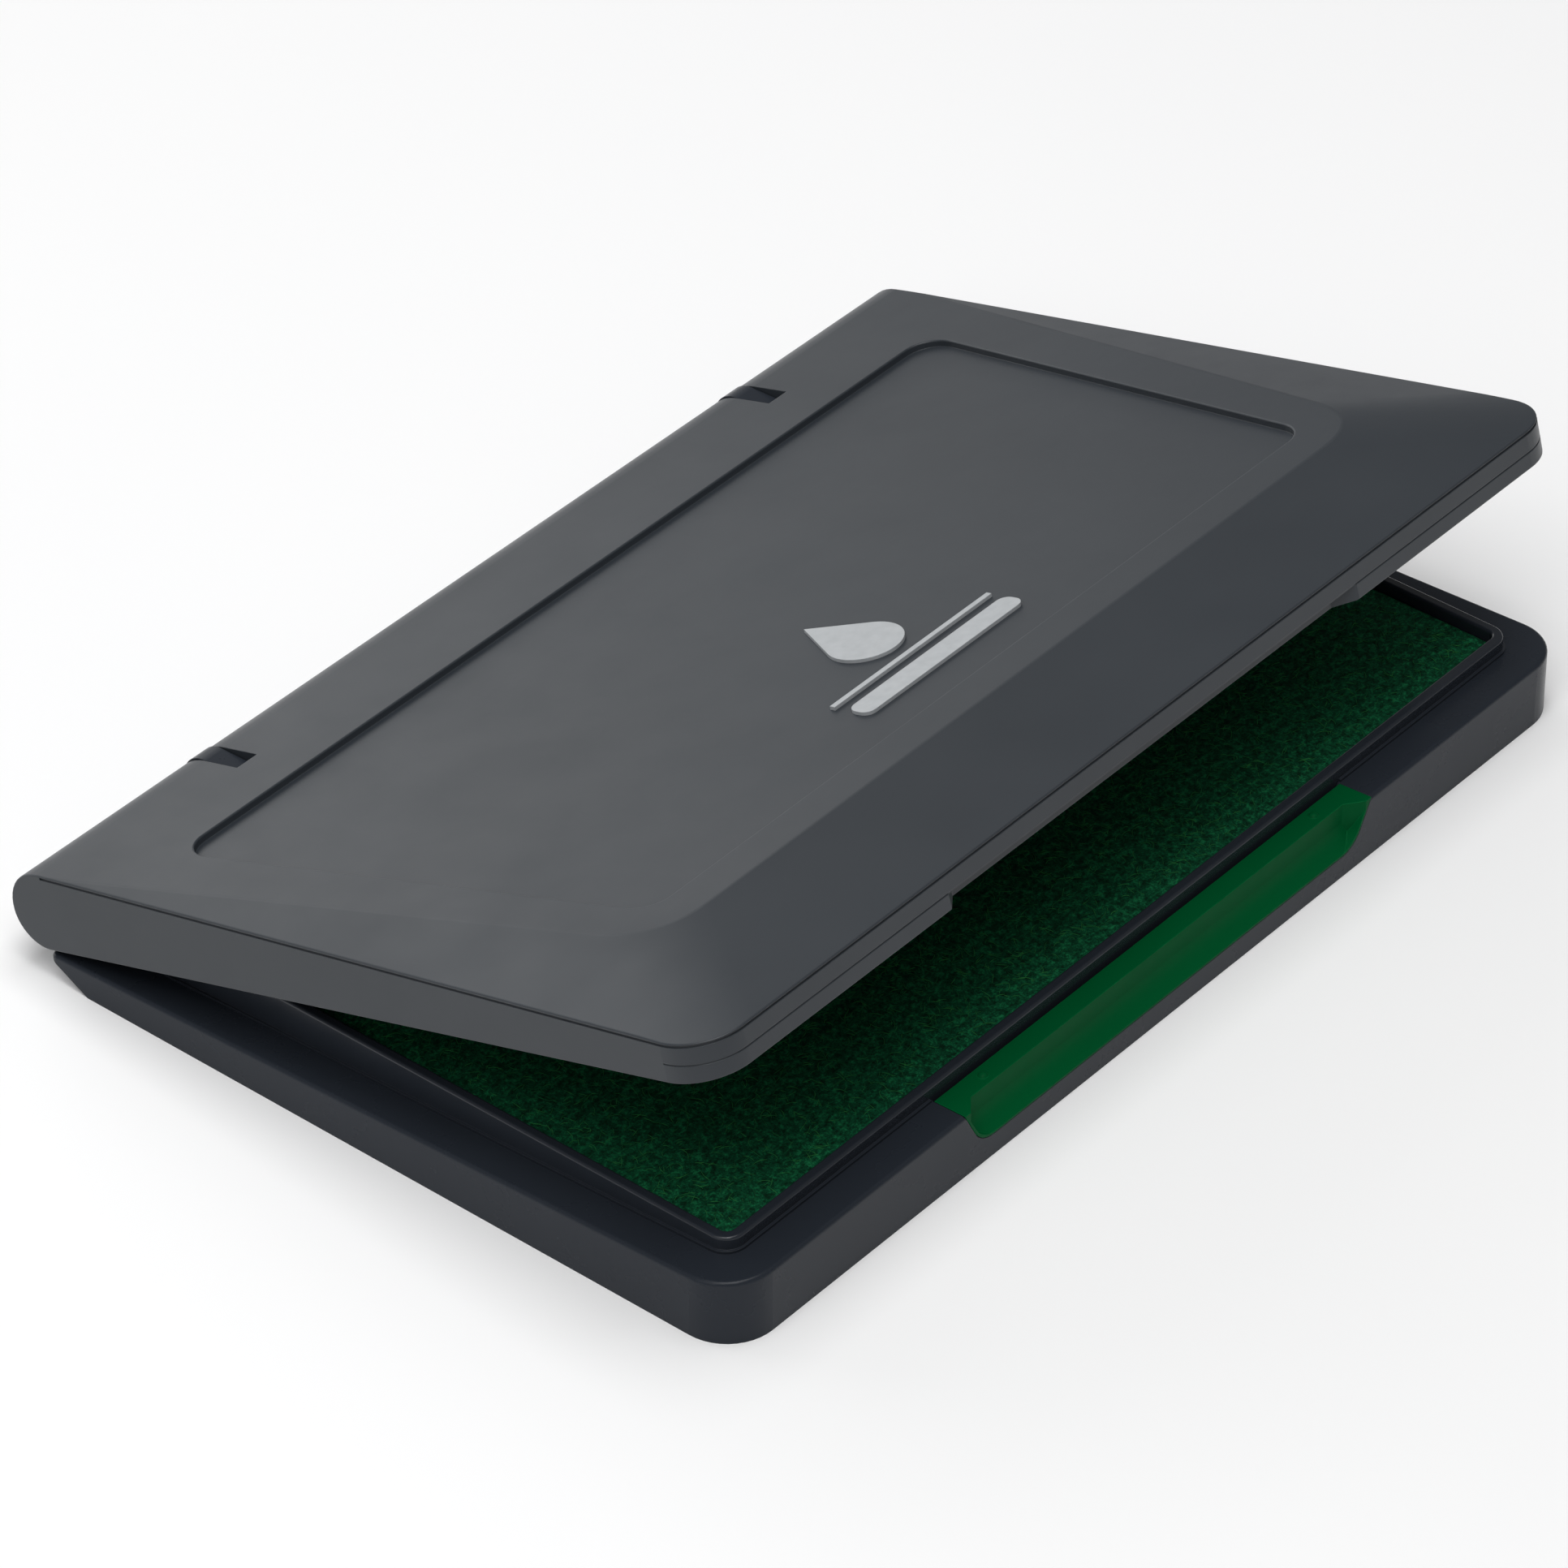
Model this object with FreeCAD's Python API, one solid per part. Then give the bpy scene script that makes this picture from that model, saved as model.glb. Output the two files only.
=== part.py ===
import FreeCAD, Part
import math
import os

# Hinged-lid stamp pad. Millimetres, +Z up, +X to the right seen from the front, +Y to the rear.
# The origin is the centre of the footprint on the underside. The lid is modelled shut and then
# turned open about the hinge by LID_OPEN_DEG, which is how the pad is stored at rest.

Vector = FreeCAD.Vector

# ---- cutters ---------------------------------------------------------------------------------
OVER = 1.0
HIGH_Z = 20.0
NEAR = 0.001

# ---- base case -------------------------------------------------------------------------------
BASE_HALF_W = 60.0
BASE_FRONT_Y = -40.0
LEDGE_REAR_Y = 39.6
FLOOR_REAR_Y = 35.1
REAR_FACE_H = 0.5
LEDGE_FRONT_Z = 6.8
LEDGE_SLOPE = 0.049
CORNER_R = 5.0
REAR_CORNER_R = 0.8
CASE_WALL = 1.6
LEDGE_T = 1.3
EDGE_R = 0.4
CAVITY_REAR_Y = 34.4
CAVITY_REAR_LEAN = 1.0

# ---- bottom cover ----------------------------------------------------------------------------
COVER_T = 1.0
COVER_GAP = 0.1
COVER_REAR_Y = 33.3
RIB_T = 1.2
RIB_X = (-45.0, -15.0, 15.0, 45.0)

# ---- pad tray and what lies in it ------------------------------------------------------------
PAD_HALF_W = 55.0
PAD_FRONT_Y = -35.07
PAD_DEPTH = 69.0
RIM_T = 1.1
RIM_TOP_Z = 8.14
RIM_INNER_R = 0.8
RIM_EDGE_R = 0.3
TRAY_BOTTOM_Z = 1.9
TRAY_FLOOR_T = 0.8
TRAY_GAP = 0.05
FLANGE_OUT = 0.25
FLANGE_H = 0.27
RESERVOIR_T = 2.5
FELT_T = 2.0
FELT_GAP = 0.1

# ---- colour grip in the front wall -----------------------------------------------------------
GRIP_HALF_W = 29.25
GRIP_LOW_HALF_W = 26.9
GRIP_LOW_Z = 2.4
GRIP_CORNER_R = 3.0
GRIP_GAP = 0.05
GRIP_BACK_Y = -36.5
GRIP_PLATE_T = 1.3
GRIP_FLANGE_GAP = 0.15
CREST_Y = -38.62
CREST_HALF_W = 26.75
SCOOP_BACK_T = 0.9
SCOOP_DEEP_Z = 5.2
SCOOP_LIP_Z = 2.62
SCOOP_RIM = 0.2
SCOOP_SWEEP_OUT = 0.25
SCOOP_SWEEP_DOWN = 0.62
SCOOP_OVERRUN = 0.2
NUB_X = 23.8
NUB_Y = -37.55
NUB_R = 0.5
NUB_RISE = 0.3
NUB_ROOT = 0.1
NUB_KEEP = 2.0

# ---- lid, in its shut position ---------------------------------------------------------------
LID_HALF_W = 60.1
LID_FRONT_Y = -40.26
LID_EDGE_FRONT_Z = 7.40
LID_WALL_TOP_Z = 11.15
FRONT_WALL_DROP = 0.05
LID_EDGE_R = 0.16
HIP_R = 44.0
CREASE_R = 2.0
PLATEAU_FRONT_Y = -26.3
PLATEAU_REF_Y = 29.31
PLATEAU_REF_Z = 11.48
PLATEAU_SLOPE = 0.029
SIDE_SLOPE = 0.188
LID_WALL = 1.5
LID_TOP_T = 1.9
BACK_TOP_R = 4.4
BACK_LOW_R = 3.5
BACK_Y = 44.2
BACK_MID_Z = 6.7
THUMB_HALF_W = 28.8
THUMB_DEEP_HALF_W = 26.75
THUMB_DEEP_Y = -38.62
THUMB_TOP_Z = 8.95
GROOVE_DEPTH = 0.07
GROOVE_H = 0.15
SEAM_DEPTH = 0.14
SEAM_H = 0.24
SEAM_DOWN = 0.03
SEAM_REAR_Y = 39.4
PANEL_REAR_Y = 29.31
PANEL_FRONT_Y = -22.15
PANEL_REAR_HALF_W = 52.4
PANEL_FRONT_HALF_W = 45.85
PANEL_CORNER_R = 3.0
PANEL_DEPTH = 0.75
PANEL_EDGE_R = 0.15

# ---- hinge -----------------------------------------------------------------------------------
HINGE_Y = 40.5
HINGE_Z = 8.4
HINGE_X = 37.1
LID_OPEN_DEG = 14.85
SLOT_W = 2.6
SLOT_FRONT_Y = 35.5
HOOK_W = 2.3
HOOK_R = 2.7
HOOK_FRONT_Y = 37.0
HOOK_MOUTH_W = 2.2
PIN_R = 1.3
PIN_RUNNING_GAP = 0.05
PIN_SEAT_GAP = 0.02
CHEEK_T = 1.5
CHEEK_R = 3.0

# ---- raised pictogram on the lid: a drop over a pad ------------------------------------------
EMBLEM_Y = -9.2
EMBLEM_RISE = 0.35
DROP_R = 3.6
DROP_TIP = 7.4
DROP_UP = 1.9
BAR_W = 22.0
RULE_D = 0.6
RULE_DOWN = 3.6
BAR_D = 2.6
BAR_CORNER_R = 1.04
BAR_DOWN = 6.6


# ---- helpers ---------------------------------------------------------------------------------
def ledge_z(y):
    """Height of the sloping ledge at y."""
    return LEDGE_FRONT_Z - LEDGE_SLOPE * (y - BASE_FRONT_Y)


def plateau_z(y):
    """Height of the shut lid's flat top at y."""
    return PLATEAU_REF_Z + PLATEAU_SLOPE * (PLATEAU_REF_Y - y)


def top_z(y):
    """Height of the shut lid's flat top at y, where it runs straight into the rounded back."""
    rear_y = BACK_Y - BACK_TOP_R
    share = (y - PLATEAU_FRONT_Y) / (rear_y - PLATEAU_FRONT_Y)
    front_z = plateau_z(PLATEAU_FRONT_Y)
    return front_z + share * (BACK_MID_Z + BACK_TOP_R - front_z)


def lid_edge_z(y):
    """Height of the shut lid's lower edge at y: parallel to the ledge."""
    return LID_EDGE_FRONT_Z - LEDGE_SLOPE * (y - LID_FRONT_Y)


def box(x0, x1, y0, y1, z0, z1):
    return Part.makeBox(x1 - x0, y1 - y0, z1 - z0, Vector(x0, y0, z0))


def prism_x(outline, x0, x1):
    """Solid with the closed (y, z) outline, from x0 to x1."""
    points = [Vector(x0, y, z) for y, z in outline]
    face = Part.Face(Part.makePolygon(points + points[:1]))
    return face.extrude(Vector(x1 - x0, 0, 0))


def prism_z(outline, z0, z1):
    """Solid with the closed (x, y) outline, from z0 to z1."""
    points = [Vector(x, y, z0) for x, y in outline]
    face = Part.Face(Part.makePolygon(points + points[:1]))
    return face.extrude(Vector(0, 0, z1 - z0))


def cylinder_x(radius, x0, x1, y, z):
    return Part.makeCylinder(radius, x1 - x0, Vector(x0, y, z), Vector(1, 0, 0))


def corner_edges(solid, corners, tolerance=10 * NEAR):
    """Edges that run mostly along Z through one of the (x, y) corners."""
    found = []
    for edge in solid.Edges:
        ends = [v.Point for v in edge.Vertexes]
        if len(ends) != 2 or abs(ends[0].z - ends[1].z) < tolerance:
            continue
        for x, y in corners:
            if all(abs(p.x - x) < tolerance and abs(p.y - y) < tolerance for p in ends):
                found.append(edge)
    return found


def round_corners(solid, corners, radius):
    return solid.makeFillet(radius, corner_edges(solid, corners))


def rounded_box(x0, x1, y0, y1, z0, z1, radius):
    solid = box(x0, x1, y0, y1, z0, z1)
    return round_corners(solid, [(x0, y0), (x1, y0), (x0, y1), (x1, y1)], radius)


def edges_at(solid, test):
    """Edges whose every sample point passes the test."""
    found = []
    for edge in solid.Edges:
        samples = edge.discretize(5)
        if all(test(p) for p in samples):
            found.append(edge)
    return found


def save(name, shape):
    shape.exportStep("parts/" + name + ".step")


# ---- base body -------------------------------------------------------------------------------
def case_blank():
    """Wedge with rounded upright corners and an undercut rear face."""
    rear_z = ledge_z(LEDGE_REAR_Y)
    outline = [
        (BASE_FRONT_Y, 0.0),
        (BASE_FRONT_Y, LEDGE_FRONT_Z),
        (LEDGE_REAR_Y, rear_z),
        (LEDGE_REAR_Y, rear_z - REAR_FACE_H),
        (FLOOR_REAR_Y, 0.0),
    ]
    blank = prism_x(outline, -BASE_HALF_W, BASE_HALF_W)
    front = [(-BASE_HALF_W, BASE_FRONT_Y), (BASE_HALF_W, BASE_FRONT_Y)]
    blank = round_corners(blank, front, CORNER_R)
    rear = [(-BASE_HALF_W, LEDGE_REAR_Y), (BASE_HALF_W, LEDGE_REAR_Y)]
    blank = round_corners(blank, rear, REAR_CORNER_R)
    top_edges = edges_at(blank, lambda p: abs(p.z - ledge_z(p.y)) < NEAR)
    return blank.makeFillet(EDGE_R, top_edges)


def case_cavity():
    """The hollow under the ledge, open below."""
    inner_front = BASE_FRONT_Y + CASE_WALL
    half = BASE_HALF_W - CASE_WALL
    outline = [
        (inner_front, -OVER),
        (inner_front, ledge_z(inner_front) - LEDGE_T),
        (CAVITY_REAR_Y, ledge_z(CAVITY_REAR_Y) - LEDGE_T),
        (CAVITY_REAR_Y - CAVITY_REAR_LEAN, -OVER),
    ]
    hollow = prism_x(outline, -half, half)
    front = [(-half, inner_front), (half, inner_front)]
    return round_corners(hollow, front, CORNER_R - CASE_WALL)


def tray_hole():
    """The hole in the ledge that the pad tray stands in."""
    half = PAD_HALF_W + RIM_T + TRAY_GAP
    front = PAD_FRONT_Y - RIM_T - TRAY_GAP
    rear = PAD_FRONT_Y + PAD_DEPTH + RIM_T + TRAY_GAP
    radius = RIM_INNER_R + RIM_T + TRAY_GAP
    return rounded_box(-half, half, front, rear, TRAY_BOTTOM_Z - TRAY_GAP, HIGH_Z, radius)


def grip_outline(margin):
    """Front view of the colour grip as a closed (x, z) wire, grown by margin."""
    above = 2 * OVER
    top = LEDGE_FRONT_Z + above
    low = GRIP_LOW_Z - margin
    lean = (GRIP_HALF_W - GRIP_LOW_HALF_W) / (LEDGE_FRONT_Z - GRIP_LOW_Z)
    wide = GRIP_HALF_W + margin + lean * above
    narrow = GRIP_LOW_HALF_W + margin
    points = [Vector(x, 0, z) for x, z in [(-wide, top), (-narrow, low), (narrow, low), (wide, top)]]
    face = Part.Face(Part.makePolygon(points + points[:1]))
    block = face.extrude(Vector(0, 1, 0))
    lower = edges_at(block, lambda p: abs(p.z - low) < NEAR and abs(abs(p.x) - narrow) < NEAR)
    block = block.makeFillet(GRIP_CORNER_R, lower)
    front_faces = [f for f in block.Faces if abs(f.CenterOfMass.y) < NEAR]
    return front_faces[0]


def grip_block(margin, y0, y1):
    face = grip_outline(margin)
    face.translate(Vector(0, y0, 0))
    return face.extrude(Vector(0, y1 - y0, 0))


def hinge_hook(x):
    """Open hook that snaps over the lid's pin, on a stem that rises from the rear of the ledge."""
    x0 = x - HOOK_W / 2
    x1 = x + HOOK_W / 2
    top = HINGE_Z + HOOK_R
    lean = PLATEAU_SLOPE * (HINGE_Y - HOOK_FRONT_Y)
    stem = prism_x([
        (HOOK_FRONT_Y, ledge_z(HOOK_FRONT_Y) - LEDGE_T / 2),
        (HOOK_FRONT_Y, top + lean),
        (HINGE_Y, top),
        (HINGE_Y, HINGE_Z),
        (HINGE_Y - HOOK_MOUTH_W / 2, HINGE_Z),
        (HINGE_Y - HOOK_MOUTH_W / 2 - PIN_RUNNING_GAP, ledge_z(HINGE_Y) - LEDGE_T / 2),
    ], x0, x1)
    eye = cylinder_x(HOOK_R, x0, x1, HINGE_Y, HINGE_Z)
    bore = cylinder_x(PIN_R + PIN_RUNNING_GAP, x0 - OVER, x1 + OVER, HINGE_Y, HINGE_Z)
    half_mouth = HOOK_MOUTH_W / 2
    mouth = box(x0 - OVER, x1 + OVER, HINGE_Y - half_mouth, HINGE_Y + half_mouth, 0.0, HINGE_Z)
    return stem.fuse(eye).cut(bore).cut(mouth)


def base_case():
    case = case_blank().cut(case_cavity()).cut(tray_hole())
    pocket = grip_block(GRIP_GAP, BASE_FRONT_Y - OVER, PAD_FRONT_Y - RIM_T)
    case = case.cut(pocket)
    for x in (-HINGE_X, HINGE_X):
        case = case.fuse(hinge_hook(x))
    return case.removeSplitter()


def bottom_cover():
    """Flat plate inside the case's lower edge, with ribs that carry the tray."""
    half = BASE_HALF_W - CASE_WALL - COVER_GAP
    front = BASE_FRONT_Y + CASE_WALL + COVER_GAP
    plate = box(-half, half, front, COVER_REAR_Y, 0.0, COVER_T)
    corners = [(-half, front), (half, front)]
    plate = round_corners(plate, corners, CORNER_R - CASE_WALL - COVER_GAP)
    for x in RIB_X:
        rear = COVER_REAR_Y - OVER
        rib = box(x - RIB_T / 2, x + RIB_T / 2, PAD_FRONT_Y, rear, COVER_T / 2, TRAY_BOTTOM_Z)
        plate = plate.fuse(rib)
    return plate.removeSplitter()


def tray_flange():
    """Thin step around the rim that lies on the ledge, left out where the grip passes under it."""
    reach = RIM_T + FLANGE_OUT
    half = PAD_HALF_W + reach
    front = PAD_FRONT_Y - reach
    rear = PAD_FRONT_Y + PAD_DEPTH + reach
    outline = [
        (front, ledge_z(front)),
        (front, ledge_z(front) + FLANGE_H),
        (rear, ledge_z(rear) + FLANGE_H),
        (rear, ledge_z(rear)),
    ]
    step = prism_x(outline, -half, half)
    corners = [(-half, front), (half, front), (-half, rear), (half, rear)]
    step = round_corners(step, corners, RIM_INNER_R + reach)
    beside_grip = GRIP_HALF_W + GRIP_FLANGE_GAP
    return step.cut(box(-beside_grip, beside_grip, front - OVER, PAD_FRONT_Y - RIM_T, 0, RIM_TOP_Z))


def pad_tray():
    half = PAD_HALF_W + RIM_T
    front = PAD_FRONT_Y - RIM_T
    rear = PAD_FRONT_Y + PAD_DEPTH + RIM_T
    outer = rounded_box(-half, half, front, rear, TRAY_BOTTOM_Z, RIM_TOP_Z, RIM_INNER_R + RIM_T)
    inner = rounded_box(-PAD_HALF_W, PAD_HALF_W, PAD_FRONT_Y, PAD_FRONT_Y + PAD_DEPTH,
                        TRAY_BOTTOM_Z + TRAY_FLOOR_T, HIGH_Z, RIM_INNER_R)
    tray = outer.fuse(tray_flange()).cut(inner)
    top_edges = edges_at(tray, lambda p: abs(p.z - RIM_TOP_Z) < NEAR)
    return tray.makeFillet(RIM_EDGE_R, top_edges)


def pad_layer(z0, z1):
    """A felt layer that fills the tray with a little clearance."""
    half = PAD_HALF_W - FELT_GAP
    return rounded_box(-half, half, PAD_FRONT_Y + FELT_GAP, PAD_FRONT_Y + PAD_DEPTH - FELT_GAP,
                       z0, z1, RIM_INNER_R)


def scoop():
    """The thumb hollow: slanted ends in plan, hollowed back wall in section."""
    deep_y = CREST_Y
    out_y = BASE_FRONT_Y - OVER
    high_z = LEDGE_FRONT_Z + OVER
    lip_y = BASE_FRONT_Y - SCOOP_OVERRUN
    lip_z = SCOOP_LIP_Z - SCOOP_OVERRUN / 2
    sweep_y = deep_y - SCOOP_SWEEP_OUT * (deep_y - BASE_FRONT_Y)
    sweep_z = SCOOP_DEEP_Z - SCOOP_SWEEP_DOWN * (SCOOP_DEEP_Z - SCOOP_LIP_Z)
    back = Part.makePolygon([
        Vector(0, out_y, high_z),
        Vector(0, deep_y, high_z),
        Vector(0, deep_y, SCOOP_DEEP_Z),
    ])
    sweep = Part.Arc(
        Vector(0, deep_y, SCOOP_DEEP_Z),
        Vector(0, sweep_y, sweep_z),
        Vector(0, lip_y, lip_z),
    ).toShape()
    closing = Part.makePolygon([
        Vector(0, lip_y, lip_z),
        Vector(0, out_y, lip_z),
        Vector(0, out_y, high_z),
    ])
    section = Part.Face(Part.Wire(back.Edges + [sweep] + closing.Edges))
    section.translate(Vector(-GRIP_HALF_W, 0, 0))
    trough = section.extrude(Vector(2 * GRIP_HALF_W, 0, 0))
    slant = (THUMB_HALF_W - CREST_HALF_W) / (deep_y - LID_FRONT_Y)
    mouth = CREST_HALF_W + slant * (deep_y - out_y)
    plan = prism_z([
        (-CREST_HALF_W, deep_y),
        (-mouth, out_y),
        (mouth, out_y),
        (CREST_HALF_W, deep_y),
    ], 0.0, high_z)
    inset = grip_block(-SCOOP_RIM, out_y - OVER, deep_y + OVER)
    return trough.common(plan).common(inset)


def latch_nub(x):
    """Low bead that the lid's front wall rides over as it shuts."""
    top = ledge_z(NUB_Y) + NUB_RISE
    ball_r = (NUB_R ** 2 + NUB_RISE ** 2) / (2 * NUB_RISE)
    ball = Part.makeSphere(ball_r, Vector(x, NUB_Y, top - ball_r))
    root = ledge_z(NUB_Y) - NUB_ROOT
    keep = box(x - NUB_KEEP, x + NUB_KEEP, NUB_Y - NUB_KEEP, NUB_Y + NUB_KEEP, root, top + OVER)
    return ball.common(keep)


def colour_grip():
    """Coloured front insert: a plate level with the ledge and a thumb scoop below it."""
    below_ledge = prism_x([
        (BASE_FRONT_Y, 0.0),
        (BASE_FRONT_Y, ledge_z(BASE_FRONT_Y)),
        (GRIP_BACK_Y, ledge_z(GRIP_BACK_Y)),
        (GRIP_BACK_Y, ledge_z(GRIP_BACK_Y) - GRIP_PLATE_T),
        (CREST_Y + SCOOP_BACK_T, ledge_z(CREST_Y) - GRIP_PLATE_T),
        (CREST_Y + SCOOP_BACK_T, 0.0),
    ], -GRIP_HALF_W - OVER, GRIP_HALF_W + OVER)
    grip = grip_block(0.0, BASE_FRONT_Y, GRIP_BACK_Y).common(below_ledge).cut(scoop())
    for x in (-NUB_X, NUB_X):
        grip = grip.fuse(latch_nub(x))
    return grip.removeSplitter()


# ---- lid body, built shut --------------------------------------------------------------------
def lid_profile(inset, top_drop):
    """Side view of the lid as a closed (y, z) face at x = 0, shrunk by inset and top_drop."""
    front_y = LID_FRONT_Y + inset
    top_r = BACK_TOP_R - inset
    low_r = BACK_LOW_R - inset
    back_y = BACK_Y - inset
    top_y = back_y - top_r
    low_y = back_y - low_r
    mid_z = BACK_MID_Z
    low_z = mid_z - low_r
    rise = (plateau_z(PLATEAU_FRONT_Y) - LID_WALL_TOP_Z) / (PLATEAU_FRONT_Y - LID_FRONT_Y)
    front_top = LID_WALL_TOP_Z - FRONT_WALL_DROP + rise * inset - top_drop
    start = Vector(0, front_y, LID_EDGE_FRONT_Z)
    outline = Part.makePolygon([
        start,
        Vector(0, front_y, front_top),
        Vector(0, PLATEAU_FRONT_Y, plateau_z(PLATEAU_FRONT_Y) - top_drop),
        Vector(0, top_y, mid_z + top_r),
    ])
    diagonal = math.sqrt(0.5)
    upper = Part.Arc(
        Vector(0, top_y, mid_z + top_r),
        Vector(0, top_y + top_r * diagonal, mid_z + top_r * diagonal),
        Vector(0, back_y, mid_z),
    ).toShape()
    lower = Part.Arc(
        Vector(0, back_y, mid_z),
        Vector(0, low_y + low_r * diagonal, mid_z - low_r * diagonal),
        Vector(0, low_y, low_z),
    ).toShape()
    bottom = Part.makePolygon([Vector(0, low_y, low_z), start])
    return Part.Face(Part.Wire(outline.Edges + [upper, lower] + bottom.Edges))


def side_slope_cut(drop):
    """Everything above the two side slopes, lowered by drop."""
    far = LID_HALF_W + OVER
    near_y = LID_FRONT_Y - OVER
    low = LID_WALL_TOP_Z - drop - SIDE_SLOPE * OVER
    peak = LID_WALL_TOP_Z - drop + SIDE_SLOPE * LID_HALF_W
    points = [
        Vector(-far, near_y, low),
        Vector(0, near_y, peak),
        Vector(far, near_y, low),
        Vector(far, near_y, peak + OVER),
        Vector(-far, near_y, peak + OVER),
    ]
    face = Part.Face(Part.makePolygon(points + points[:1]))
    return face.extrude(Vector(0, BACK_Y + OVER - near_y, 0))


def hip_edges(blank):
    """The two edges where the front slope meets a side slope."""
    low_y = LID_FRONT_Y + CORNER_R / 2
    hips = []
    for edge in blank.Edges:
        span = edge.BoundBox
        if span.XLength > CORNER_R and span.YLength > CORNER_R and span.YMin < low_y and span.YMax < 0:
            hips.append(edge)
    return hips


def plateau_edges(blank):
    """Outline of the flat top, without its rear edge."""
    width = 2 * PANEL_FRONT_HALF_W
    tops = [f for f in blank.Faces if f.BoundBox.XLength > width and f.BoundBox.YLength > BASE_HALF_W]
    top = max(tops, key=lambda f: f.CenterOfMass.z)
    outline = [e for e in top.Edges if e.BoundBox.XLength > OVER]
    return [e for e in outline if e.BoundBox.YMin < FLOOR_REAR_Y]


def lid_blank():
    face = lid_profile(0.0, 0.0)
    face.translate(Vector(-LID_HALF_W, 0, 0))
    blank = face.extrude(Vector(2 * LID_HALF_W, 0, 0))
    blank = blank.cut(side_slope_cut(0.0))
    blank = blank.makeFillet(HIP_R, hip_edges(blank))
    front = [(-LID_HALF_W, LID_FRONT_Y), (LID_HALF_W, LID_FRONT_Y)]
    blank = round_corners(blank, front, CORNER_R)
    blank = blank.makeFillet(CREASE_R, plateau_edges(blank))
    return blank.makeFillet(LID_EDGE_R, wall_rim_edges(blank))


def on_lid_wall(p):
    """True where a point lies on the lid's upright outer wall."""
    if p.y > LID_FRONT_Y + CORNER_R:
        return abs(p.x) > LID_HALF_W - NEAR
    along = max(abs(p.x) - (LID_HALF_W - CORNER_R), 0.0)
    return math.hypot(along, LID_FRONT_Y + CORNER_R - p.y) > CORNER_R - NEAR


def wall_rim_edges(blank):
    """Upper, lower and back edges of the lid's upright wall."""
    rim = []
    for edge in edges_at(blank, on_lid_wall):
        ends = [v.Point for v in edge.Vertexes]
        if len(ends) < 2 or math.hypot(ends[0].x - ends[1].x, ends[0].y - ends[1].y) > 10 * NEAR:
            rim.append(edge)
    return rim


def lid_hollow():
    half = LID_HALF_W - LID_WALL
    face = lid_profile(LID_WALL, LID_TOP_T)
    face.translate(Vector(-half, 0, 0))
    hollow = face.extrude(Vector(2 * half, 0, 0))
    front_y = LID_FRONT_Y + LID_WALL
    hollow = round_corners(hollow, [(-half, front_y), (half, front_y)], CORNER_R - LID_WALL)
    hollow = hollow.cut(side_slope_cut(LID_TOP_T - SIDE_SLOPE * LID_WALL))
    lip_y = BACK_Y - BACK_LOW_R
    skirt = prism_x([
        (front_y, LID_EDGE_FRONT_Z - LID_WALL),
        (front_y, LID_EDGE_FRONT_Z + LID_WALL),
        (lip_y, lid_edge_z(lip_y) + LID_WALL + BACK_LOW_R / 4),
        (lip_y, lid_edge_z(lip_y) - LID_WALL),
    ], -half, half)
    skirt = round_corners(skirt, [(-half, front_y), (half, front_y)], CORNER_R - LID_WALL)
    return hollow.fuse(skirt)


def label_panel():
    """Shallow recess in the flat top, wider at the rear, parallel to it."""
    outline = [
        (-PANEL_FRONT_HALF_W, PANEL_FRONT_Y),
        (PANEL_FRONT_HALF_W, PANEL_FRONT_Y),
        (PANEL_REAR_HALF_W, PANEL_REAR_Y),
        (-PANEL_REAR_HALF_W, PANEL_REAR_Y),
    ]
    column = prism_z(outline, 0.0, HIGH_Z)
    column = round_corners(column, outline, PANEL_CORNER_R)
    front = LID_FRONT_Y - OVER
    above_floor = prism_x([
        (front, plateau_z(front) - PANEL_DEPTH),
        (BACK_Y, plateau_z(BACK_Y) - PANEL_DEPTH),
        (BACK_Y, HIGH_Z),
        (front, HIGH_Z),
    ], -LID_HALF_W, LID_HALF_W)
    return column.common(above_floor)


def panel_rim_edges(shell):
    """Upper outline of the label panel's recess."""
    margin = PANEL_CORNER_R / 2

    def on_rim(p):
        inside = abs(p.x) < PANEL_REAR_HALF_W + NEAR and PANEL_FRONT_Y - margin < p.y < PANEL_REAR_Y + margin
        return inside and abs(p.z - top_z(p.y)) < 10 * NEAR

    return edges_at(shell, on_rim)


def thumb_recess(offset):
    """Plan of the thumb recess in the lid's front wall, moved rearwards by offset."""
    slant = (THUMB_HALF_W - THUMB_DEEP_HALF_W) / (THUMB_DEEP_Y - LID_FRONT_Y)
    mouth_y = LID_FRONT_Y - OVER
    mouth = THUMB_DEEP_HALF_W + slant * (THUMB_DEEP_Y - mouth_y)
    return [
        (-mouth - offset, mouth_y),
        (-THUMB_DEEP_HALF_W - offset, THUMB_DEEP_Y + offset),
        (THUMB_DEEP_HALF_W + offset, THUMB_DEEP_Y + offset),
        (mouth + offset, mouth_y),
    ]


def wall_groove(depth, z0, z1, rear):
    """Fine slot of the given depth around the lid's side and front walls, from z0 to z1."""
    outer = box(-LID_HALF_W - OVER, LID_HALF_W + OVER, LID_FRONT_Y - OVER, rear, z0, z1)
    half = LID_HALF_W - depth
    front = LID_FRONT_Y + depth
    core = box(-half, half, front, rear + CORNER_R, 0, HIGH_Z)
    core = round_corners(core, [(-half, front), (half, front)], CORNER_R - depth)
    return outer.cut(core)


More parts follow.
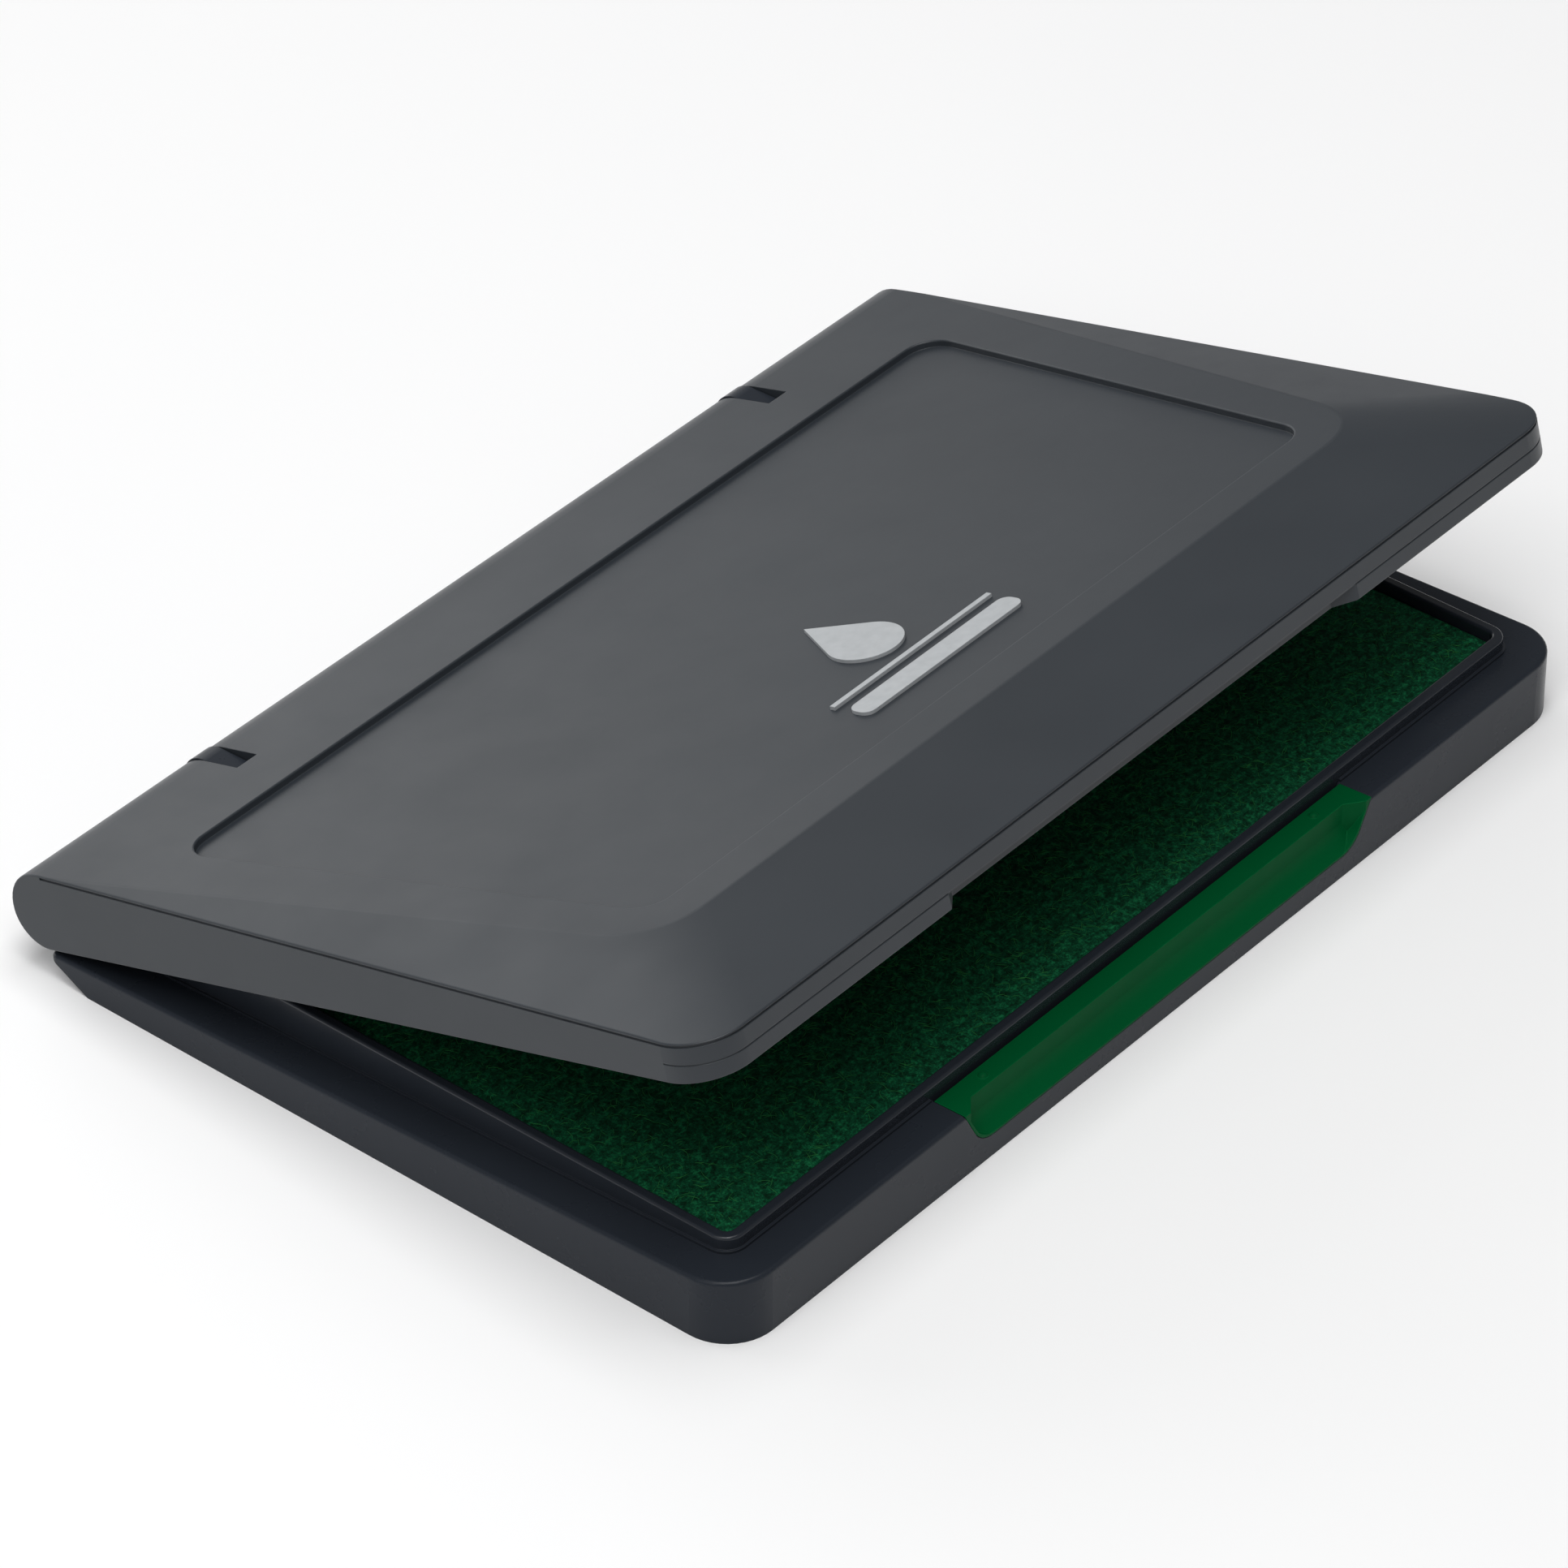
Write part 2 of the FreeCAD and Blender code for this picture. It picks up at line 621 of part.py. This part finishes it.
def pin_cheeks(x):
    """Two lugs inside the lid's rounded back that hold a hinge pin, one each side of the slot."""
    cheeks = []
    for side in (-1, 1):
        inner = x + side * SLOT_W / 2
        outer = inner + side * CHEEK_T
        x0 = min(inner, outer)
        x1 = max(inner, outer)
        lug = cylinder_x(CHEEK_R, x0, x1, HINGE_Y, HINGE_Z)
        web = box(x0, x1, HINGE_Y - CHEEK_R, HINGE_Y + CHEEK_R, HINGE_Z, HINGE_Z + CHEEK_R)
        cheeks.append(lug.fuse(web))
    return cheeks[0].fuse(cheeks[1])


def lid_shell():
    blank = lid_blank()
    shell = blank.cut(lid_hollow())
    backing = prism_z(thumb_recess(LID_WALL), 0.0, THUMB_TOP_Z + LID_TOP_T)
    shell = shell.fuse(backing.common(blank))
    shell = shell.cut(prism_z(thumb_recess(0.0), 0.0, THUMB_TOP_Z))
    for x in (-HINGE_X, HINGE_X):
        shell = shell.fuse(pin_cheeks(x).common(blank))
    for x in (-HINGE_X, HINGE_X):
        shell = shell.cut(box(x - SLOT_W / 2, x + SLOT_W / 2, SLOT_FRONT_Y, BACK_Y + OVER, 0, HIGH_Z))
        seat_reach = SLOT_W / 2 + CHEEK_T
        shell = shell.cut(cylinder_x(PIN_R + PIN_SEAT_GAP, x - seat_reach, x + seat_reach, HINGE_Y, HINGE_Z))
    shell = shell.cut(label_panel())
    shell = shell.makeFillet(PANEL_EDGE_R, panel_rim_edges(shell))
    parting = wall_groove(GROOVE_DEPTH, THUMB_TOP_Z, THUMB_TOP_Z + GROOVE_H, LID_FRONT_Y + CORNER_R)
    seam_top = LID_WALL_TOP_Z - LID_EDGE_R - SEAM_DOWN
    seam = wall_groove(SEAM_DEPTH, seam_top - SEAM_H, seam_top, SEAM_REAR_Y)
    return shell.cut(parting).cut(seam).removeSplitter()


def hinge_pin(x):
    reach = SLOT_W / 2 + CHEEK_T
    return cylinder_x(PIN_R, x - reach, x + reach, HINGE_Y, HINGE_Z)


def drop_face(y):
    """Outline of an ink drop: a round belly and two straight flanks that meet in a tip."""
    touch = math.acos(DROP_R / DROP_TIP)
    side_x = DROP_R * math.sin(touch)
    side_y = DROP_R * math.cos(touch)
    belly = Part.Arc(
        Vector(-side_x, y + side_y, 0),
        Vector(0, y - DROP_R, 0),
        Vector(side_x, y + side_y, 0),
    ).toShape()
    flanks = Part.makePolygon([
        Vector(side_x, y + side_y, 0),
        Vector(0, y + DROP_TIP, 0),
        Vector(-side_x, y + side_y, 0),
    ])
    return Part.Face(Part.Wire([belly] + flanks.Edges))


def lid_emblem():
    """Raised pictogram on the panel floor: a drop above a thin rule and a pad bar."""
    column = drop_face(EMBLEM_Y + DROP_UP).extrude(Vector(0, 0, HIGH_Z))
    rule_y = EMBLEM_Y - RULE_DOWN
    bar_y = EMBLEM_Y - BAR_DOWN
    half = BAR_W / 2
    rule = box(-half, half, rule_y - RULE_D / 2, rule_y + RULE_D / 2, 0, HIGH_Z)
    bar = rounded_box(-half, half, bar_y - BAR_D / 2, bar_y + BAR_D / 2, 0, HIGH_Z, BAR_CORNER_R)
    floor = plateau_z(PANEL_FRONT_Y) - PANEL_DEPTH
    far_floor = plateau_z(PANEL_REAR_Y) - PANEL_DEPTH
    layer = prism_x([
        (PANEL_FRONT_Y, floor),
        (PANEL_REAR_Y, far_floor),
        (PANEL_REAR_Y, far_floor + EMBLEM_RISE),
        (PANEL_FRONT_Y, floor + EMBLEM_RISE),
    ], -BAR_W, BAR_W)
    return Part.makeCompound([layer.common(piece) for piece in (column, rule, bar)])


def opened(shape):
    """Turn a lid piece from shut to its stored, part-open position."""
    turned = shape.copy()
    turned.rotate(Vector(0, HINGE_Y, HINGE_Z), Vector(-1, 0, 0), LID_OPEN_DEG)
    return turned


def main():
    os.makedirs("parts", exist_ok=True)
    floor_top = TRAY_BOTTOM_Z + TRAY_FLOOR_T
    felt_base = floor_top + RESERVOIR_T
    save("base_case", base_case())
    save("bottom_cover", bottom_cover())
    save("pad_tray", pad_tray())
    save("ink_reservoir", pad_layer(floor_top, felt_base))
    save("ink_felt", pad_layer(felt_base, felt_base + FELT_T))
    save("colour_grip", colour_grip())
    save("lid_shell", opened(lid_shell()))
    save("hinge_pin_left", opened(hinge_pin(-HINGE_X)))
    save("hinge_pin_right", opened(hinge_pin(HINGE_X)))
    save("lid_emblem", opened(lid_emblem()))


main()
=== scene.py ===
import math
import random

import bpy
from mathutils import Matrix, Vector, noise


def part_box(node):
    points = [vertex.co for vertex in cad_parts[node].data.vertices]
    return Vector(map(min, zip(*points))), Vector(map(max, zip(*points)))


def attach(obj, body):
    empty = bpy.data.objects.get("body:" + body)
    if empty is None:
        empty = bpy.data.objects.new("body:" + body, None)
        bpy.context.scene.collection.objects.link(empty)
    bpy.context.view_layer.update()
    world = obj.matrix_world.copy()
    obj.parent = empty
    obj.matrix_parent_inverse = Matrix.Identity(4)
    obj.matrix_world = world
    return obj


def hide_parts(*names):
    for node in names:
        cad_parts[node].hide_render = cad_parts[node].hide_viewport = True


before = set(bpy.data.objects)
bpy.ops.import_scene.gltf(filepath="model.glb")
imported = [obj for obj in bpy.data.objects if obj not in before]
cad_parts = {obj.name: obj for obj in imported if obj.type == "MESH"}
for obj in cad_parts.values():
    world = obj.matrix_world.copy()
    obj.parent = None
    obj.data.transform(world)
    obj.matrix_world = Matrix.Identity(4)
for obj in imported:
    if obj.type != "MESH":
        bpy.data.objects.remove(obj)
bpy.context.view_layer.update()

MM = 0.001
random.seed(7)

# ---- camera and studio -----------------------------------------------------------------------
CAMERA_AZ = math.radians(-50.162)
CAMERA_EL = math.radians(37.626)
CAMERA_AT = Vector((-0.43942, -0.36195, 0.44465))
CAMERA_LENS = 182.03
SENSOR = 36.0
CLIP_NEAR = 0.01
CLIP_FAR = 10.0
WORLD_STRENGTH = 0.17
WHITE = (1.0, 1.0, 1.0, 1.0)
FLOOR_HALF = 3.0
LIGHT_DISTANCE = 0.9
LIGHT_SIZE = (0.5, 0.5)
STUDIO = (  # name, azimuth from -Y towards +X, elevation, radiance
    ("rear_low", -165, 10, 2.45),
    ("camera_side", -54, 64, 3.6),
    ("left", -90, 40, 1.14),
    ("overhead", 0, 88, 4.35),
    ("rear_right", 150, 14, 0.40),
    ("rear_right_mid", 160, 22, 0.78),
    ("rear_right_high", 165, 35, 0.81),
)


def add_camera():
    back = Vector((
        math.sin(CAMERA_AZ) * math.cos(CAMERA_EL),
        -math.cos(CAMERA_AZ) * math.cos(CAMERA_EL),
        math.sin(CAMERA_EL),
    ))
    right = Vector((math.cos(CAMERA_AZ), math.sin(CAMERA_AZ), 0.0))
    up = back.cross(right)
    data = bpy.data.cameras.new("camera")
    data.lens = CAMERA_LENS
    data.sensor_width = SENSOR
    data.clip_start = CLIP_NEAR
    data.clip_end = CLIP_FAR
    camera = bpy.data.objects.new("camera", data)
    turn = Matrix((right, up, back)).transposed().to_4x4()
    camera.matrix_world = Matrix.Translation(CAMERA_AT) @ turn
    bpy.context.scene.collection.objects.link(camera)
    bpy.context.scene.camera = camera


def add_light(name, azimuth, elevation, radiance):
    """A rectangular soft light that faces the object."""
    az = math.radians(azimuth)
    el = math.radians(elevation)
    toward = Vector((
        math.sin(az) * math.cos(el),
        -math.cos(az) * math.cos(el),
        math.sin(el),
    ))
    data = bpy.data.lights.new(name, "AREA")
    data.shape = "RECTANGLE"
    data.size, data.size_y = LIGHT_SIZE
    data.energy = radiance * math.pi * data.size * data.size_y
    light = bpy.data.objects.new(name, data)
    light.location = toward * LIGHT_DISTANCE
    light.rotation_euler = toward.to_track_quat("Z", "Y").to_euler()
    bpy.context.scene.collection.objects.link(light)


def add_world():
    world = bpy.data.worlds.new("studio")
    world.use_nodes = True
    background = world.node_tree.nodes["Background"]
    background.inputs["Color"].default_value = WHITE
    background.inputs["Strength"].default_value = WORLD_STRENGTH
    bpy.context.scene.world = world


# ---- materials -------------------------------------------------------------------------------
# Noise scales are cycles per metre; bump distances are real heights.
MIX_FACTOR, MIX_A, MIX_B, MIX_RESULT = 0, 6, 7, 2  # colour sockets of the Mix node
BEVEL_SAMPLES = 6
EDGE_BENT, EDGE_FLAT = 0.80, 0.995  # cosine between true and rounded normal
DRIFT_SCALE, WEAR_AND_HIGHLIGHT_SCALE, SMUDGE_SCALE = 38.0, 420.0, 90.0
FLOW_SCALE, FLOW_HEIGHT = 160.0, 0.15 * MM
SPARK_SCALE, SPARK_HEIGHT = 5200.0, 0.02 * MM
DARKER, LIGHTER, RUB_AND_HIGHLIGHT_OFFSET = 0.94, 1.05, 0.006
CLUMP_SCALE, CLUMP_HEIGHT = 1250.0, 0.25 * MM
NAP_SCALE, NAP_HEIGHT = 4200.0, 0.12 * MM
STRAND_SCALE, STRAND_SQUASH = 2600.0, 0.18
SILVER_DULL = (0.43, 0.45, 0.465)
SILVER_BRIGHT = (0.48, 0.50, 0.515)
SILVER_WORN = (0.30, 0.315, 0.33)
PAPER_DULL = (0.955, 0.955, 0.96)
PAPER_BRIGHT = (0.975, 0.975, 0.975)


class Look:
    """A Principled material with a few helpers to wire its nodes."""

    def __init__(self, name):
        self.material = bpy.data.materials.new(name)
        self.material.use_nodes = True
        self.tree = self.material.node_tree
        self.shader = self.tree.nodes["Principled BSDF"]
        self.coordinates = self.tree.nodes.new("ShaderNodeTexCoord")

    def node(self, kind, **settings):
        made = self.tree.nodes.new(kind)
        for key, value in settings.items():
            setattr(made, key, value)
        return made

    def link(self, source, target):
        self.tree.links.new(source, target)

    def noise(self, scale, detail=2.0, roughness=0.5, stretch=None):
        texture = self.node("ShaderNodeTexNoise")
        texture.inputs["Scale"].default_value = scale
        texture.inputs["Detail"].default_value = detail
        texture.inputs["Roughness"].default_value = roughness
        source = self.coordinates.outputs["Object"]
        if stretch:
            mapping = self.node("ShaderNodeMapping")
            mapping.inputs["Scale"].default_value = stretch
            self.link(source, mapping.inputs["Vector"])
            source = mapping.outputs["Vector"]
        self.link(source, texture.inputs["Vector"])
        return texture.outputs["Fac"]

    def ramp(self, source, stops):
        """Map a value to colours; stops are (position, colour)."""
        ramp = self.node("ShaderNodeValToRGB")
        elements = ramp.color_ramp.elements
        while len(elements) < len(stops):
            elements.new(0.5)
        for element, (position, colour) in zip(elements, stops):
            element.position = position
            element.color = (*colour, 1.0)
        self.link(source, ramp.inputs["Fac"])
        return ramp.outputs["Color"]

    def scaled(self, source, low, high, from_low=0.3, from_high=0.7):
        """Map a value from one range to another."""
        span = self.node("ShaderNodeMapRange")
        span.inputs["From Min"].default_value = from_low
        span.inputs["From Max"].default_value = from_high
        span.inputs["To Min"].default_value = low
        span.inputs["To Max"].default_value = high
        self.link(source, span.inputs["Value"])
        return span.outputs["Result"]

    def mixed(self, factor, a, b):
        """Colour a where the factor is 0, colour b where it is 1."""
        mix = self.node("ShaderNodeMix", data_type="RGBA")
        self.link(factor, mix.inputs[MIX_FACTOR])
        for socket, value in ((mix.inputs[MIX_A], a), (mix.inputs[MIX_B], b)):
            if isinstance(value, tuple):
                socket.default_value = (*value, 1.0)
            else:
                self.link(value, socket)
        return mix.outputs[MIX_RESULT]

    def bump(self, height, strength, distance, normal=None):
        bump = self.node("ShaderNodeBump")
        bump.inputs["Strength"].default_value = strength
        bump.inputs["Distance"].default_value = distance
        self.link(height, bump.inputs["Height"])
        if normal is not None:
            self.link(normal, bump.inputs["Normal"])
        return bump.outputs["Normal"]

    def rounded_edges(self, radius):
        """Normal with every sharp edge rounded off, and a mask that is 1 along those edges."""
        bevel = self.node("ShaderNodeBevel", samples=BEVEL_SAMPLES)
        bevel.inputs["Radius"].default_value = radius
        geometry = self.node("ShaderNodeNewGeometry")
        dot = self.node("ShaderNodeVectorMath", operation="DOT_PRODUCT")
        self.link(bevel.outputs["Normal"], dot.inputs[0])
        self.link(geometry.outputs["Normal"], dot.inputs[1])
        mask = self.scaled(dot.outputs["Value"], 1.0, 0.0, EDGE_BENT, EDGE_FLAT)
        return bevel.outputs["Normal"], mask


def moulded_plastic(name, colour, roughness, specular,
                    edge=0.10 * MM, grain=1.0, rub_and_highlight=1.3):
    """Satin moulded plastic: slow tone drift, fine spark texture, paler edges that are partly
    rubbed wear and partly a painted highlight.
    """
    look = Look(name)
    darker = tuple(DARKER * c for c in colour)
    lighter = tuple(LIGHTER * c for c in colour)
    # Paler edge colour: partly rubbed wear, partly a painted highlight along the thin bright
    # edge lines.
    rubbed_and_highlight = tuple(rub_and_highlight * c + RUB_AND_HIGHLIGHT_OFFSET for c in colour)
    drift = look.ramp(look.noise(DRIFT_SCALE, 3.0), [(0.30, darker), (0.72, lighter)])
    normal, edge_mask = look.rounded_edges(edge)
    wear_and_highlight = look.node("ShaderNodeMath", operation="MULTIPLY")
    look.link(edge_mask, wear_and_highlight.inputs[0])
    look.link(look.scaled(look.noise(WEAR_AND_HIGHLIGHT_SCALE, 4.0), 0.15, 0.75), wear_and_highlight.inputs[1])
    look.link(look.mixed(wear_and_highlight.outputs["Value"], drift, rubbed_and_highlight),
              look.shader.inputs["Base Color"])
    smudge = look.noise(SMUDGE_SCALE, 5.0, 0.6)
    look.link(look.scaled(smudge, roughness - 0.04, roughness + 0.05),
              look.shader.inputs["Roughness"])
    spark = look.noise(SPARK_SCALE, 2.0, 0.6)
    flow = look.noise(FLOW_SCALE, 2.0)
    normal = look.bump(flow, 0.03, FLOW_HEIGHT, normal)
    normal = look.bump(spark, 0.10 * grain, SPARK_HEIGHT, normal)
    look.link(normal, look.shader.inputs["Normal"])
    look.shader.inputs["Specular IOR Level"].default_value = specular
    return look.material


def inked_felt(name, deep, mid, bright):
    """Wool felt soaked in ink: mottled clumps, fine crossing fibres, no gloss."""
    look = Look(name)
    clumps = look.noise(CLUMP_SCALE, 6.0, 0.68)
    fine = look.noise(NAP_SCALE, 5.0, 0.72)
    strands = look.noise(STRAND_SCALE, 3.0, 0.6, stretch=(1.0, STRAND_SQUASH, 1.0))
    cross = look.noise(STRAND_SCALE, 3.0, 0.6, stretch=(STRAND_SQUASH, 1.0, 1.0))
    strand_mix = look.node("ShaderNodeMath", operation="MAXIMUM")
    look.link(strands, strand_mix.inputs[0])
    look.link(cross, strand_mix.inputs[1])
    blend = look.node("ShaderNodeMath", operation="MULTIPLY")
    look.link(fine, blend.inputs[0])
    look.link(clumps, blend.inputs[1])
    body = look.ramp(blend.outputs["Value"], [(0.17, deep), (0.27, mid), (0.37, bright)])
    thread = look.scaled(strand_mix.outputs["Value"], 0.0, 0.55, 0.58, 0.78)
    look.link(look.mixed(thread, body, bright), look.shader.inputs["Base Color"])
    look.link(look.scaled(fine, 0.82, 0.98), look.shader.inputs["Roughness"])
    normal = look.bump(clumps, 0.5, CLUMP_HEIGHT)
    normal = look.bump(fine, 0.7, NAP_HEIGHT, normal)
    look.link(normal, look.shader.inputs["Normal"])
    look.shader.inputs["Specular IOR Level"].default_value = 0.12
    look.shader.inputs["Sheen Weight"].default_value = 0.06
    look.shader.inputs["Sheen Roughness"].default_value = 0.5
    look.shader.inputs["Sheen Tint"].default_value = (*bright, 1.0)
    return look.material


def felt_fibre(name, dull, bright):
    """One loose strand's colour, which drifts from dull to bright over the pad."""
    look = Look(name)
    tone = look.noise(900.0, 3.0, 0.6)
    look.link(look.ramp(tone, [(0.35, dull), (0.65, bright)]),
              look.shader.inputs["Base Color"])
    look.link(look.scaled(tone, 0.7, 0.95), look.shader.inputs["Roughness"])
    look.link(look.bump(look.noise(9000.0, 2.0), 0.3, 0.01 * MM),
              look.shader.inputs["Normal"])
    look.shader.inputs["Specular IOR Level"].default_value = 0.15
    return look.material


def silver_print(name):
    """Raised silver print: fine grain, slightly worn at the edges."""
    look = Look(name)
    tone = look.ramp(look.noise(900.0, 4.0), [(0.3, SILVER_DULL), (0.7, SILVER_BRIGHT)])
    normal, edge_mask = look.rounded_edges(0.07 * MM)
    look.link(look.mixed(edge_mask, tone, SILVER_WORN), look.shader.inputs["Base Color"])
    look.link(look.scaled(look.noise(1500.0, 3.0), 0.42, 0.5),
              look.shader.inputs["Roughness"])
    look.link(look.bump(look.noise(6000.0, 2.0), 0.15, 0.02 * MM, normal),
              look.shader.inputs["Normal"])
    look.shader.inputs["Metallic"].default_value = 0.25
    return look.material


def studio_paper():
    look = Look("studio_paper")
    tone = look.ramp(look.noise(6.0, 2.0), [(0.3, PAPER_DULL), (0.7, PAPER_BRIGHT)])
    look.link(tone, look.shader.inputs["Base Color"])
    look.shader.inputs["Roughness"].default_value = 0.95
    look.shader.inputs["Specular IOR Level"].default_value = 0.0
    return look.material


# ---- soft pieces -----------------------------------------------------------------------------
FELT_STEP, RESERVOIR_STEP = 0.5 * MM, 1.5 * MM
FELT_CROWN = 0.12 * MM
FELT_EDGE_R, RESERVOIR_EDGE_R = 0.35 * MM, 0.3 * MM
FELT_WAVES = (  # frequency, seed, height
    (60.0, 3.1, 0.05 * MM),
    (420.0, 7.7, 0.045 * MM),
    (1500.0, 1.9, 0.05 * MM),
)
FIBRE_COUNT = 8000
FIBRE_STEPS = 5
FIBRE_MARGIN = 1.2 * MM
FIBRE_RADIUS = 0.024 * MM
FIBRE_LENGTH = (0.5 * MM, 1.5 * MM)
FIBRE_CURL = 1.4
FIBRE_ARCH = 0.05 * MM
FIBRE_TIP = 0.45
FIBRE_RIDGE = 1.6


def mesh_piece(name, vertices, faces, material, smooth=True):
    mesh = bpy.data.meshes.new(name)
    mesh.from_pydata(vertices, [], faces)
    mesh.validate()
    if smooth:
        mesh.polygons.foreach_set("use_smooth", [True] * len(mesh.polygons))
    mesh.materials.append(material)
    piece = bpy.data.objects.new(name, mesh)
    bpy.context.scene.collection.objects.link(piece)
    return piece


def felt_height(x, y):
    """Uneven surface of pressed felt: broad waves, clumps and a fine nap."""
    return sum(
        height * noise.noise(Vector((x * frequency, y * frequency, seed)))
        for frequency, seed, height in FELT_WAVES
    )


def crown_lift(x, y, middle, half, crown):
    """How far the crowned felt top stands above its rim at x, y."""
    across = ((x - middle.x) / half.x) ** 4
    along = ((y - middle.y) / half.y) ** 4
    return crown * (1 - across) * (1 - along)


def felt_layer(name, node, step, crown, edge_r, rough, material):
    """Closed block of felt in the node's box: crowned top, rounded rim, uneven surface."""
    low, high = (Vector(c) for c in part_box(node))
    columns = max(4, round((high.x - low.x) / step))
    rows = max(4, round((high.y - low.y) / step))
    middle = (low + high) / 2
    half = (high - low) / 2

    def top_point(i, j):
        x = low.x + (high.x - low.x) * i / columns
        y = low.y + (high.y - low.y) * j / rows
        inside = min(x - low.x, high.x - x, y - low.y, high.y - y)
        lift = crown_lift(x, y, middle, half, crown)
        drop = 0.0
        if inside < edge_r:
            drop = edge_r - math.sqrt(max(0.0, edge_r ** 2 - (edge_r - inside) ** 2))
        return (x, y, high.z + lift - drop + rough * felt_height(x, y))

    vertices = [top_point(i, j) for j in range(rows + 1) for i in range(columns + 1)]
    faces = []
    across = columns + 1
    for j in range(rows):
        for i in range(columns):
            a = j * across + i
            faces.append((a, a + 1, a + across + 1, a + across))
    ring = [(i, 0) for i in range(columns)] + [(columns, j) for j in range(rows)]
    ring += [(i, rows) for i in range(columns, 0, -1)] + [(0, j) for j in range(rows, 0, -1)]
    top_ring = [j * across + i for i, j in ring]
    low_ring = []
    for index in top_ring:
        x, y, _ = vertices[index]
        low_ring.append(len(vertices))
        vertices.append((x, y, low.z))
    count = len(ring)
    for k in range(count):
        n = (k + 1) % count
        faces.append((top_ring[n], top_ring[k], low_ring[k], low_ring[n]))
    faces.append(tuple(reversed(low_ring)))
    return mesh_piece(name, vertices, faces, material)


def felt_fibres(name, node, material):
    """Loose curled fibres that lie on the felt, each a closed three-sided strand."""
    low, high = (Vector(c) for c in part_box(node))
    middle = (low + high) / 2
    half = (high - low) / 2
    margin = FIBRE_MARGIN
    steps = FIBRE_STEPS
    vertices = []
    faces = []
    for _ in range(FIBRE_COUNT):
        length = random.uniform(*FIBRE_LENGTH)
        turn = random.uniform(0, 2 * math.pi)
        curl = random.uniform(-FIBRE_CURL, FIBRE_CURL)
        x = random.uniform(low.x + margin, high.x - margin)
        y = random.uniform(low.y + margin, high.y - margin)
        points = []
        for k in range(steps + 1):
            lift = crown_lift(x, y, middle, half, FELT_CROWN)
            arch = math.sin(math.pi * k / steps) * FIBRE_ARCH
            points.append(Vector((x, y, high.z + lift + felt_height(x, y) + arch)))
            turn += curl / steps
            x += math.cos(turn) * length / steps
            y += math.sin(turn) * length / steps
            x = min(max(x, low.x + margin / 2), high.x - margin / 2)
            y = min(max(y, low.y + margin / 2), high.y - margin / 2)
        start = len(vertices)
        for k, point in enumerate(points):
            ahead = points[min(k + 1, steps)] - points[max(k - 1, 0)]
            side = Vector((-ahead.y, ahead.x, 0.0)).normalized()
            thick = FIBRE_RADIUS * (1.0 if 0 < k < steps else FIBRE_TIP)
            vertices.append(point + side * thick)
            vertices.append(point - side * thick)
            vertices.append(point + Vector((0, 0, FIBRE_RIDGE * thick)))
        for k in range(steps):
            a = start + 3 * k
            b = a + 3
            faces.append((a, a + 1, b + 1, b))
            faces.append((a + 1, a + 2, b + 2, b + 1))
            faces.append((a + 2, a, b, b + 2))
        faces.append((start + 2, start + 1, start))
        end = start + 3 * steps
        faces.append((end, end + 1, end + 2))
    return mesh_piece(name, vertices, faces, material)


# ---- build -----------------------------------------------------------------------------------
add_camera()
add_world()
floor = mesh_piece("floor", [
    (-FLOOR_HALF, -FLOOR_HALF, 0), (FLOOR_HALF, -FLOOR_HALF, 0),
    (FLOOR_HALF, FLOOR_HALF, 0), (-FLOOR_HALF, FLOOR_HALF, 0),
], [(0, 1, 2, 3)], studio_paper(), smooth=False)
for light in STUDIO:
    add_light(*light)
bpy.context.scene.view_settings.view_transform = "Standard"

felt_material = inked_felt(
    "inked_felt", (0.0010, 0.020, 0.008), (0.003, 0.080, 0.033), (0.014, 0.23, 0.080))
fibre_material = felt_fibre("inked_fibre", (0.006, 0.11, 0.036), (0.05, 0.33, 0.08))

felt = felt_layer(
    "felt_pad", "ink_felt", FELT_STEP, FELT_CROWN, FELT_EDGE_R, 1.0, felt_material)
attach(felt, "base")
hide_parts("ink_felt")

fibres = felt_fibres("felt_fibres", "ink_felt", fibre_material)
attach(fibres, "base")

reservoir_material = inked_felt(
    "soaked_reservoir", (0.0005, 0.005, 0.002), (0.001, 0.016, 0.007), (0.003, 0.04, 0.015))
reservoir = felt_layer(
    "reservoir_pad", "ink_reservoir", RESERVOIR_STEP, 0.0, RESERVOIR_EDGE_R, 0.0,
    reservoir_material)
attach(reservoir, "base")
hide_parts("ink_reservoir")

CASE = (0.0210, 0.0255, 0.0335)
LID = (0.0300, 0.0355, 0.0425)
GRIP = (0.0, 0.082, 0.022)
LOOKS = {
    "base_case": moulded_plastic("case_plastic", CASE, 0.27, 0.15),
    "bottom_cover": moulded_plastic("cover_plastic", CASE, 0.45, 0.24),
    "pad_tray": moulded_plastic("tray_plastic", CASE, 0.22, 0.40, edge=0.06 * MM),
    # The grip's large edge factor is mostly a painted highlight on its crest and end faces.
    "colour_grip": moulded_plastic(
        "grip_plastic", GRIP, 0.42, 0.03, edge=0.14 * MM, grain=0.5, rub_and_highlight=2.4),
    "lid_shell": moulded_plastic("lid_plastic", LID, 0.36, 0.35, edge=0.13 * MM),
    "hinge_pin_left": moulded_plastic("pin_plastic", LID, 0.3, 0.4),
    "hinge_pin_right": moulded_plastic("pin_plastic_right", LID, 0.3, 0.4),
    "lid_emblem": silver_print("silver_print"),
}
for node, look in LOOKS.items():
    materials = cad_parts[node].data.materials
    for index in range(len(materials)):
        materials[index] = look
